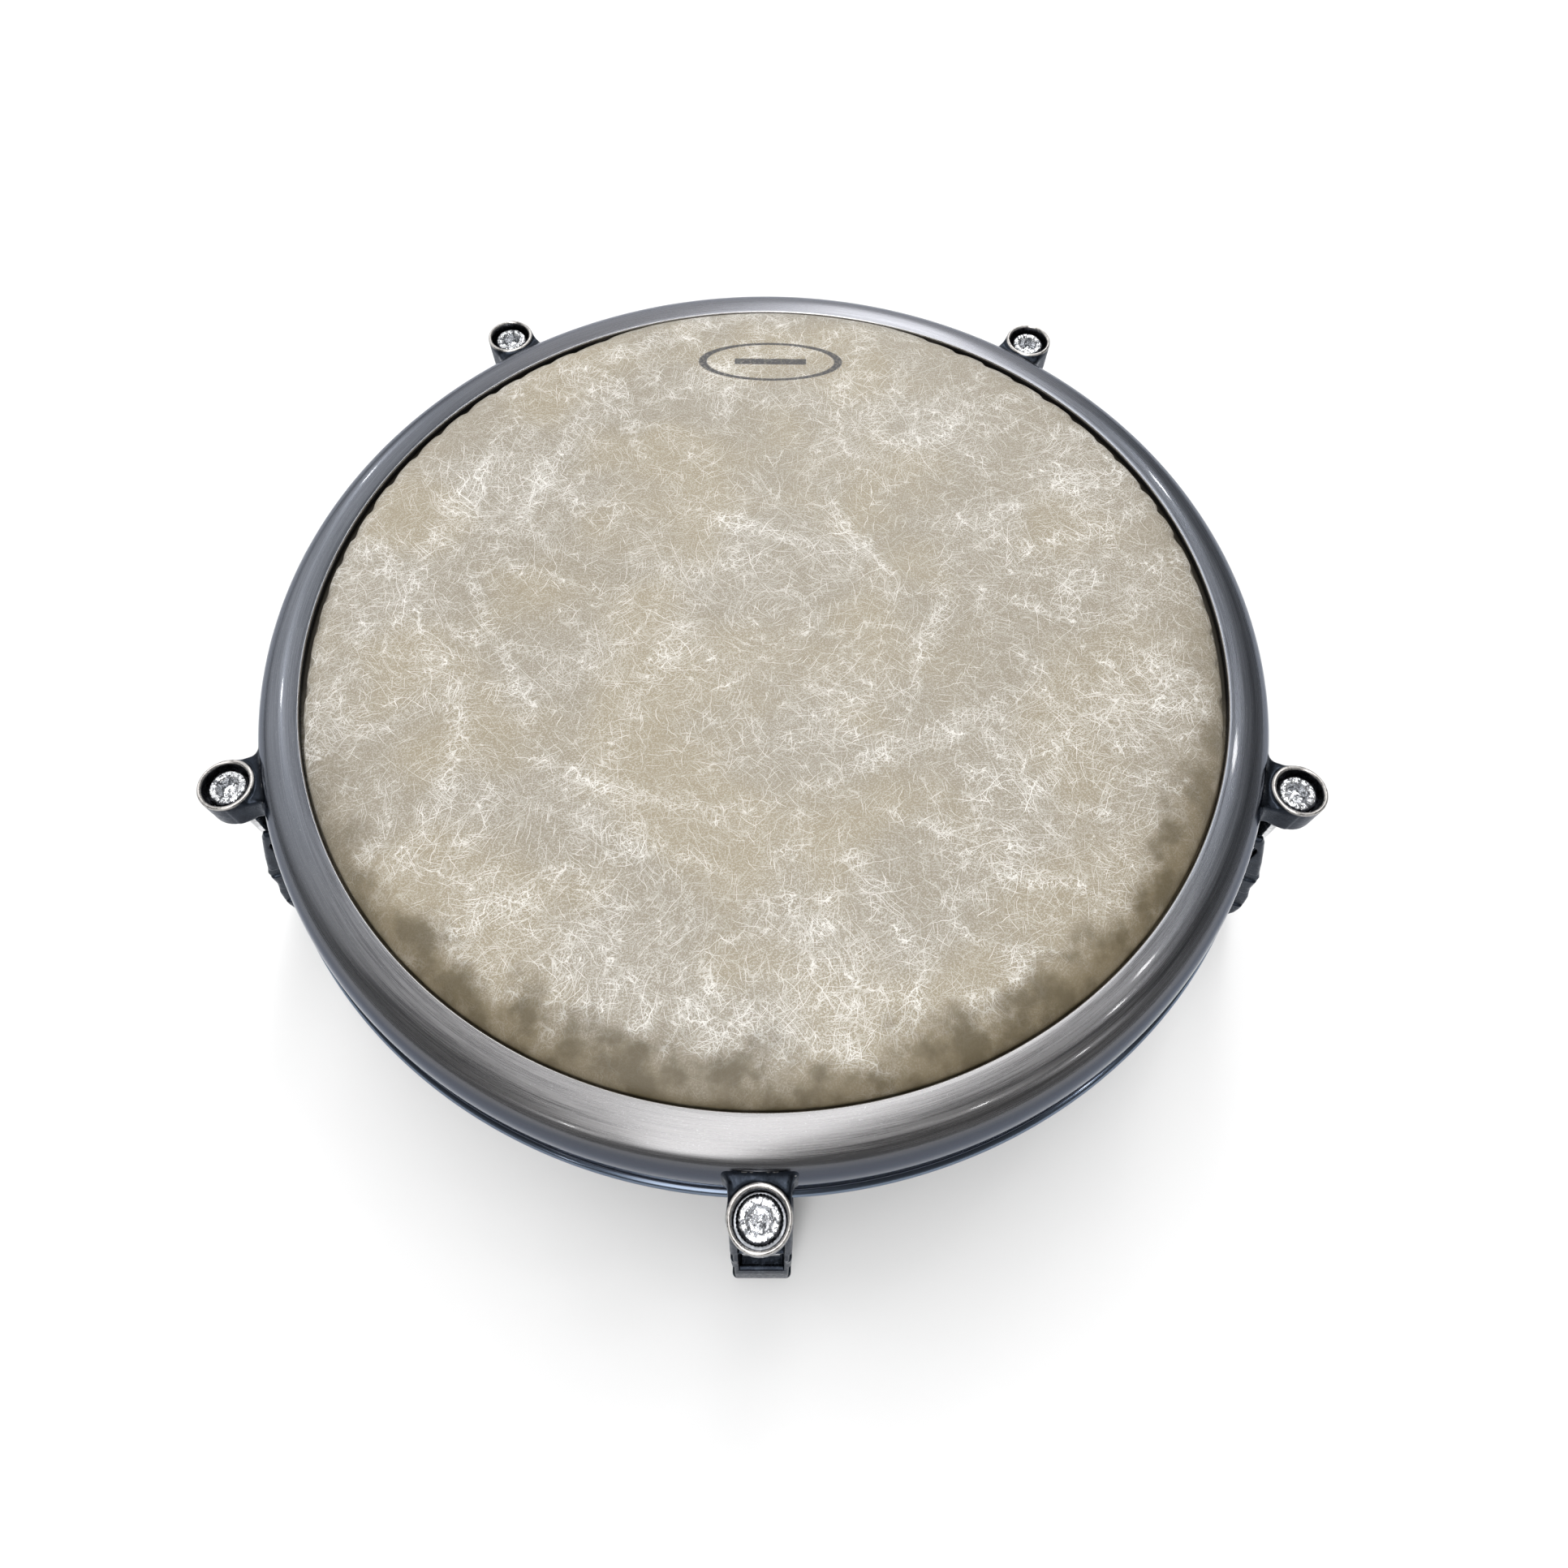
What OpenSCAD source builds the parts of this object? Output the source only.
// Compact hand drum: a shallow shell, a pre-mounted film head, a crowned
// pressed hoop with five cast ears, and five tension screws that pull the
// hoop down into cast brackets bolted to the shell.
// Millimetres, +Z up. Origin: on the drum's axis, in the plane it rests on.

/* [Drum] */
// Height of the hoop's lip above the resting plane
lip_z = 104; // [100:1:112]
// Radius of the bearing edge, half of the head size
edge_r = 149; // [148:0.1:149.5]
// Height of the playing surface above the hoop's lip
head_rise = 4.5; // [4:0.1:6]
// Thickness of the film head
film = 0.5; // [0.4:0.05:0.6]

/* [Shell] */
// Outer radius of the shell's straight waist
waist_r = 155; // [154:0.5:156]
// Wall thickness of the shell
shell_wall = 9; // [7:0.5:10]
// Width of the rounded bearing edge, measured inwards
edge_w = 15; // [13:0.5:16]
// Height of the rounded bearing edge
edge_h = 6.5; // [6:0.5:7]
// Height of the shell's lower rim above the resting plane
shell_z = 3; // [2:0.5:4]

/* [Hoop] */
// Inner radius of the hoop's lip
lip_r = 152.5; // [152.3:0.1:153]
// Outer radius of the hoop's skirt
skirt_r = 169.5; // [168.5:0.5:170]
// Height of the crowned part of the hoop
crown_h = 20; // [18:0.5:21]
// Thickness of the hoop's metal
sheet = 2.6; // [2.2:0.1:2.8]
// Radius of the rolled bead along the lower rim of the skirt
bead_r = 2; // [1.8:0.1:2.2]
// Depth of the bead's centre below the lip
bead_drop = 26.3; // [25.5:0.1:26.5]

/* [Tension screws] */
// Distance of the screws from the drum's axis
screw_pcd_r = 178; // [177.5:0.1:178.5]
// Nominal radius of the screw shank
screw_r = 3; // [3:0.05:3.2]
// Radius of the screw head
head_screw_r = 6.4; // [6:0.1:6.5]
// Height of the screw head
head_screw_h = 6.5; // [6:0.5:7]
// Width across the flats of the key socket
socket_af = 6; // [5:0.5:6]
// Depth of the key socket
socket_depth = 4.5; // [4:0.5:5]

/* [Ears] */
// Outer radius of an ear's cup
cup_r = 8.7; // [8.5:0.1:9]
// Inner radius of the cup's recess
recess_r = 7.4; // [7.2:0.1:7.5]
// Half width of the web where it meets the hoop
web_root = 10.2; // [9.5:0.1:11]

/* [Brackets] */
// Half width of a bracket
lug_half = 9.3; // [9:0.1:9.5]
// Thickness of a bracket's cheeks
cheek = 2.4; // [2.2:0.1:2.5]
// Thickness of a bracket's front wall
front_wall = 2.5; // [2:0.1:2.8]

/* [Hidden] */
$fn = 96;
lug_count = 5;
lug_step = 360 / lug_count;
first_lug = -90;
eps = 0.01;
through = 40;

// Running clearance of a screw in its bore, on the radius
run_fit = 0.08;
// Gap left between faces of pieces that move on each other
air = 0.15;

// Head and bearing edge
head_z = lip_z + head_rise;
edge_z = head_z - film;
inner_r = waist_r - shell_wall;
waist_top = 68;
neck_z = 86;
shoulder_steps = 6;
edge_steps = 8;
edge_ring_w = edge_w + 2;
edge_ring_top = edge_z - 2;
edge_ring_low = edge_z - 10;
slope_low = 82;

// Film outside the bearing edge: a collar, then a fold over the flesh hoop
collar_r = edge_r + 0.4;
collar_low = lip_z - 3.8;

// Flesh hoop, the ring that the film is folded over and bonded to
flesh_in = collar_r;
flesh_out = flesh_in + 8;
flesh_top = collar_low;
flesh_bottom = lip_z - 9.6;
flesh_chamfer = 0.8;

// Hoop section
crown_power = 3;
crown_steps = 14;
crown_r = lip_r + 0.5;
crown_z = lip_z - crown_h;
bead_z = lip_z - bead_drop;
bead_axis_r = skirt_r + 0.1;

// Ear
cup_top = lip_z - 5.4;
cup_bottom = lip_z - 17.5;
cup_floor = 2.6;
web_top = cup_top - 0.9;
web_steps = 8;
web_start = 160 - screw_pcd_r;
web_end = -2;
web_neck = cup_r - 0.2;
web_flare = 2.2;
washer_h = 1;
washer_r = 6.9;
washer_bore = screw_r + 0.3;
washer_z = cup_bottom + cup_floor;

// Tension screw
screw_seat = washer_z + washer_h + air;
screw_tip = 20;
tip_chamfer = 0.8;
head_chamfer = 0.9;

// Bracket outline, front face from the bottom up: distance from axis, height
lug_base_r = waist_r + 1;
lug_bottom = 8;
lug_back_top = 66;
lug_face = [
  [185.6, 8], [188.8, 9.5], [190.1, 13], [190.4, 17], [190.2, 22],
  [189.3, 28], [188, 32.5], [186.9, 37], [186.7, 42], [186.4, 46],
  [184.9, 50], [182.6, 58], [180, 66], [177.8, 72.5], [176.2, 75.4]
];
lug_top_inner = [172.5, 74.4];
base_plate = 4;
pocket_floor = 11;
pocket_top = 120;
front_open_z = 31;
shelf_z = 47;
shelf_h = 3;
shelf_r = 184.4;
shelf_hole_r = screw_r + 0.6;
band_depth = 0.8;
upper_band = [44, 49];
lower_band = [21, 32.5];
window_r = 3.3;
window_at = [174.2, 61.3];
window_run = 5;

// Nut in the bracket
nut_half = 6.6;
nut_z = 35;
nut_h = 12 - eps;
nut_chamfer = 1;

// Bracket bolts
bolt_r = 2.5;
bolt_bore = bolt_r + 0.05;
bolt_hole_r = 2.7;
bolt_z = [22, 57];
bolt_tip = lug_base_r + base_plate + 1.5;
bolt_head_r = 4.6;
bolt_head_h = 3.5;
bolt_washer_r = 5.5;
bolt_washer_h = 1.2;
spot_r = 6.5;
spot_depth = 2;

// Foot ring
foot_wall = 1.6;
foot_h = 7;
foot_chamfer = 1.2;

// Points of a quarter superellipse, from its top to its outermost point
function crown(a, b, steps) = [
  for (i = [0:steps])
    let (t = 90 * i / steps)
    [crown_r + a * pow(sin(t), 2 / crown_power),
     crown_z + b * pow(cos(t), 2 / crown_power)]
];

// Points of the rounded bearing edge grown by g, from its top outwards
function edge_curve(g, steps = edge_steps) = [
  for (i = [0:steps])
    let (t = 90 * i / steps)
    [edge_r - edge_w + (edge_w + g) * sin(t),
     edge_z - edge_h + (edge_h + g) * cos(t)]
];

// Points of the shell's shoulder, from the waist up to the neck
function shoulder_curve(steps) = [
  for (i = [0:steps])
    let (t = i / steps)
    [edge_r + (waist_r - edge_r) * (1 + cos(180 * t)) / 2,
     waist_top + (neck_z - waist_top) * t]
];

function reversed(list) = [for (i = [len(list) - 1:-1:0]) list[i]];

// Half width of an ear's web at x from the screw's axis
function web_half(x) =
  let (s = (web_end - x) / (web_end - web_start))
  web_neck + web_flare * (web_root - web_neck) * pow(s, 2);

module ring(profile) {
  rotate_extrude($fn = 180) polygon(profile);
}

// Places a child at lug number i, with its X axis pointing away from the drum
module at_lug(i) {
  rotate([0, 0, first_lug + lug_step * (i - 1)]) children();
}

module at_screw(i) {
  at_lug(i) translate([screw_pcd_r, 0, 0]) children();
}

// A bar of radius r along a lug's X axis, at height z
module radial_bar(from, to, z, r) {
  translate([from, 0, z]) rotate([0, 90, 0]) cylinder(h = to - from, r = r);
}

module shell() {
  color("#18191b") difference() {
    ring(concat(
      [[inner_r, shell_z], [waist_r, shell_z]],
      shoulder_curve(shoulder_steps),
      reversed(edge_curve(0)),
      [[edge_r - edge_ring_w, edge_ring_top],
       [edge_r - edge_ring_w, edge_ring_low], [inner_r, slope_low]]
    ));
    for (i = [1:lug_count], z = bolt_z) at_lug(i) {
      radial_bar(inner_r - spot_depth, waist_r + spot_depth, z, bolt_hole_r);
      radial_bar(inner_r - spot_depth, inner_r, z, spot_r);
    }
  }
}

module foot_ring() {
  color("#202021") ring([
    [inner_r - foot_wall + foot_chamfer, 0],
    [waist_r + foot_wall - foot_chamfer, 0],
    [waist_r + foot_wall, foot_chamfer],
    [waist_r + foot_wall, foot_h], [waist_r, foot_h],
    [waist_r, shell_z], [inner_r, shell_z],
    [inner_r, foot_h], [inner_r - foot_wall, foot_h],
    [inner_r - foot_wall, foot_chamfer]
  ]);
}

module drum_head() {
  color("#bfb399") ring(concat(
    [[0, edge_z]],
    edge_curve(0),
    [[edge_r, collar_low - film], [collar_r, collar_low - film],
     [collar_r, collar_low], [flesh_out, collar_low],
     [flesh_out, flesh_bottom], [flesh_out + film, flesh_bottom],
     [flesh_out + film, collar_low], [flesh_out, collar_low + film],
     [collar_r + film, collar_low + film]],
    reversed(edge_curve(film)),
    [[0, head_z]]
  ));
}

module flesh_hoop() {
  color("#8d9095") ring([
    [flesh_in, flesh_bottom],
    [flesh_out - flesh_chamfer, flesh_bottom],
    [flesh_out, flesh_bottom + flesh_chamfer],
    [flesh_out, flesh_top],
    [flesh_in, flesh_top]
  ]);
}

// Points of the rolled bead, from the skirt's outer face round to its inner
function bead_curve(steps = 10) = [
  for (i = [0:steps])
    let (t = 90 - 225 * i / steps)
    [bead_axis_r + bead_r * cos(t), bead_z + bead_r * sin(t)]
];

module counterhoop() {
  color("#85878c") ring(concat(
    crown(skirt_r - crown_r, crown_h, crown_steps),
    bead_curve(),
    [[skirt_r - sheet, bead_z - bead_r / 2]],
    reversed(crown(skirt_r - sheet - crown_r, crown_h - sheet, crown_steps)),
    [[lip_r, lip_z - sheet + 0.7], [lip_r, lip_z - 0.6]]
  ));
}

// Everything inside the hoop's outer surface, for trimming the ears
module hoop_core() {
  ring(concat(
    [[lip_r, bead_z], [lip_r, lip_z]],
    crown(skirt_r - crown_r, crown_h, crown_steps),
    [[skirt_r, bead_z]]
  ));
}

// Plan of an ear's web: straight at the cup, flared where it meets the hoop
module web_plan() {
  xs = [for (i = [0:web_steps])
    web_start + (web_end - web_start) * i / web_steps];
  polygon(concat(
    [for (x = xs) [x, web_half(x)]],
    [[0, web_half(web_end)], [0, -web_half(web_end)]],
    [for (x = reversed(xs)) [x, -web_half(x)]]
  ));
}

module hoop_ear(i) {
  color("#4c5058") difference() {
    at_screw(i) difference() {
      union() {
        translate([0, 0, cup_bottom])
          cylinder(h = cup_top - cup_bottom, r = cup_r);
        translate([0, 0, cup_bottom])
          linear_extrude(web_top - cup_bottom) web_plan();
      }
      translate([0, 0, washer_z]) cylinder(h = through, r = recess_r);
      translate([0, 0, cup_bottom - eps])
        cylinder(h = through, r = screw_r + run_fit);
    }
    hoop_core();
  }
}

module cup_washer(i) {
  color("#b9bbbf") at_screw(i) translate([0, 0, washer_z]) difference() {
    cylinder(h = washer_h, r = washer_r);
    translate([0, 0, -eps])
      cylinder(h = washer_h + 2 * eps, r = washer_bore);
  }
}

module tension_screw(i) {
  top = screw_seat + head_screw_h;
  color("#d7d9dc") at_screw(i) difference() {
    rotate_extrude() polygon([
      [0, screw_tip], [screw_r - tip_chamfer, screw_tip],
      [screw_r, screw_tip + tip_chamfer], [screw_r, screw_seat],
      [head_screw_r, screw_seat], [head_screw_r, top - head_chamfer],
      [head_screw_r - head_chamfer, top], [0, top]
    ]);
    rotate([0, 0, -first_lug - lug_step * (i - 1)])
      translate([0, 0, top - socket_depth])
        cylinder(h = through, r = socket_af / 2 / cos(30), $fn = 6);
  }
}

// A bracket's side view, filled, then its inner pocket's
module lug_side() {
  polygon(concat(
    [[inner_r, lug_bottom]], lug_face,
    [lug_top_inner, [lug_base_r, lug_back_top], [inner_r, lug_back_top]]
  ));
}

// The pocket: closed by the front wall below front_open_z, open above it
module pocket_side() {
  plate_r = lug_base_r + base_plate;
  low_face = [for (p = lug_face) if (p[1] < front_open_z) p];
  wall_top = low_face[len(low_face) - 1][0] - front_wall;
  intersection() {
    polygon(concat(
      [[plate_r, lug_bottom]],
      [for (p = low_face) [p[0] - front_wall, p[1]]],
      [[wall_top, front_open_z], [plate_r + through, front_open_z],
       [plate_r + through, pocket_top], [plate_r, pocket_top]]
    ));
    translate([plate_r, pocket_floor]) square([through, pocket_top]);
  }
}

// Stands a side view upright, centred across the lug, with a given width
module upright(width) {
  translate([0, width / 2, 0]) rotate([90, 0, 0])
    linear_extrude(width) children();
}

module side_band(band) {
  for (side = [-1, 1])
    translate([lug_base_r - 1, side * (lug_half + 1) - 1 - band_depth, band[0]])
      cube([through, 2 * (1 + band_depth) - band_depth, band[1] - band[0]]);
}

module cheek_window() {
  translate(window_at) circle(r = window_r);
  translate([window_at[0], window_at[1] + window_run]) circle(r = window_r);
  translate([window_at[0] - window_r, window_at[1]])
    square([2 * window_r, window_run]);
}

module lug_bracket(i) {
  gap = 2 * (lug_half - cheek);
  color("#3f444c") at_lug(i) difference() {
    upright(2 * lug_half) lug_side();
    difference() {
      upright(gap) pocket_side();
      translate([lug_base_r, -lug_half, shelf_z])
        cube([shelf_r - lug_base_r, 2 * lug_half, shelf_h]);
    }
    upright(3 * lug_half) cheek_window();
    side_band(upper_band);
    side_band(lower_band);
    translate([screw_pcd_r, 0, shelf_z - 1])
      cylinder(h = shelf_h + 2, r = shelf_hole_r);
    for (z = bolt_z)
      radial_bar(inner_r, lug_base_r + base_plate + 1, z, bolt_bore);
    translate([0, 0, -1]) rotate(-first_lug - lug_step * (i - 1))
      cylinder(h = pocket_top, r = lug_base_r, $fn = 180);
  }
}

module lug_gasket(i) {
  color("#1d1d1e") at_lug(i) difference() {
    intersection() {
      translate([inner_r, -lug_half, lug_bottom])
        cube([through / 2, 2 * lug_half, lug_back_top - lug_bottom]);
      difference() {
        cylinder(h = 2 * through, r = lug_base_r, $fn = 180);
        translate([0, 0, -1])
          cylinder(h = 2 * through + 2, r = waist_r, $fn = 180);
      }
    }
    for (z = bolt_z)
      radial_bar(inner_r, lug_base_r + 1, z, bolt_hole_r);
  }
}

module lug_nut(i) {
  color("#c3c5c9") at_screw(i) translate([0, 0, nut_z]) difference() {
    linear_extrude(nut_h) polygon([
      [-nut_half, -nut_half + nut_chamfer], [-nut_half + nut_chamfer, -nut_half],
      [nut_half - nut_chamfer, -nut_half], [nut_half, -nut_half + nut_chamfer],
      [nut_half, nut_half - nut_chamfer], [nut_half - nut_chamfer, nut_half],
      [-nut_half + nut_chamfer, nut_half], [-nut_half, nut_half - nut_chamfer]
    ]);
    translate([0, 0, -1]) cylinder(h = nut_h + 2, r = screw_r + run_fit);
  }
}

module lug_bolts(i) {
  seat = inner_r - bolt_washer_h;
  color("#aeb1b5") at_lug(i) for (z = bolt_z) {
    radial_bar(seat, bolt_tip, z, bolt_r);
    translate([seat - bolt_head_h, 0, z]) rotate([0, 90, 0])
      cylinder(h = bolt_head_h, r = bolt_head_r, $fn = 6);
  }
}

module bolt_washers(i) {
  color("#b9bbbf") at_lug(i) for (z = bolt_z) difference() {
    radial_bar(inner_r - bolt_washer_h, inner_r, z, bolt_washer_r);
    radial_bar(inner_r - bolt_washer_h - 1, inner_r + 1, z, bolt_hole_r);
  }
}

shell();
foot_ring();
drum_head();
flesh_hoop();
counterhoop();
hoop_ear(1);  // hoop_ear_1
hoop_ear(2);  // hoop_ear_2
hoop_ear(3);  // hoop_ear_3
hoop_ear(4);  // hoop_ear_4
hoop_ear(5);  // hoop_ear_5
cup_washer(1);  // cup_washer_1
cup_washer(2);  // cup_washer_2
cup_washer(3);  // cup_washer_3
cup_washer(4);  // cup_washer_4
cup_washer(5);  // cup_washer_5
tension_screw(1);  // tension_screw_1
tension_screw(2);  // tension_screw_2
tension_screw(3);  // tension_screw_3
tension_screw(4);  // tension_screw_4
tension_screw(5);  // tension_screw_5
lug_bracket(1);  // lug_bracket_1
lug_bracket(2);  // lug_bracket_2
lug_bracket(3);  // lug_bracket_3
lug_bracket(4);  // lug_bracket_4
lug_bracket(5);  // lug_bracket_5
lug_gasket(1);  // lug_gasket_1
lug_gasket(2);  // lug_gasket_2
lug_gasket(3);  // lug_gasket_3
lug_gasket(4);  // lug_gasket_4
lug_gasket(5);  // lug_gasket_5
lug_nut(1);  // lug_nut_1
lug_nut(2);  // lug_nut_2
lug_nut(3);  // lug_nut_3
lug_nut(4);  // lug_nut_4
lug_nut(5);  // lug_nut_5
lug_bolts(1);  // lug_bolts_1
lug_bolts(2);  // lug_bolts_2
lug_bolts(3);  // lug_bolts_3
lug_bolts(4);  // lug_bolts_4
lug_bolts(5);  // lug_bolts_5
bolt_washers(1);  // bolt_washers_1
bolt_washers(2);  // bolt_washers_2
bolt_washers(3);  // bolt_washers_3
bolt_washers(4);  // bolt_washers_4
bolt_washers(5);  // bolt_washers_5
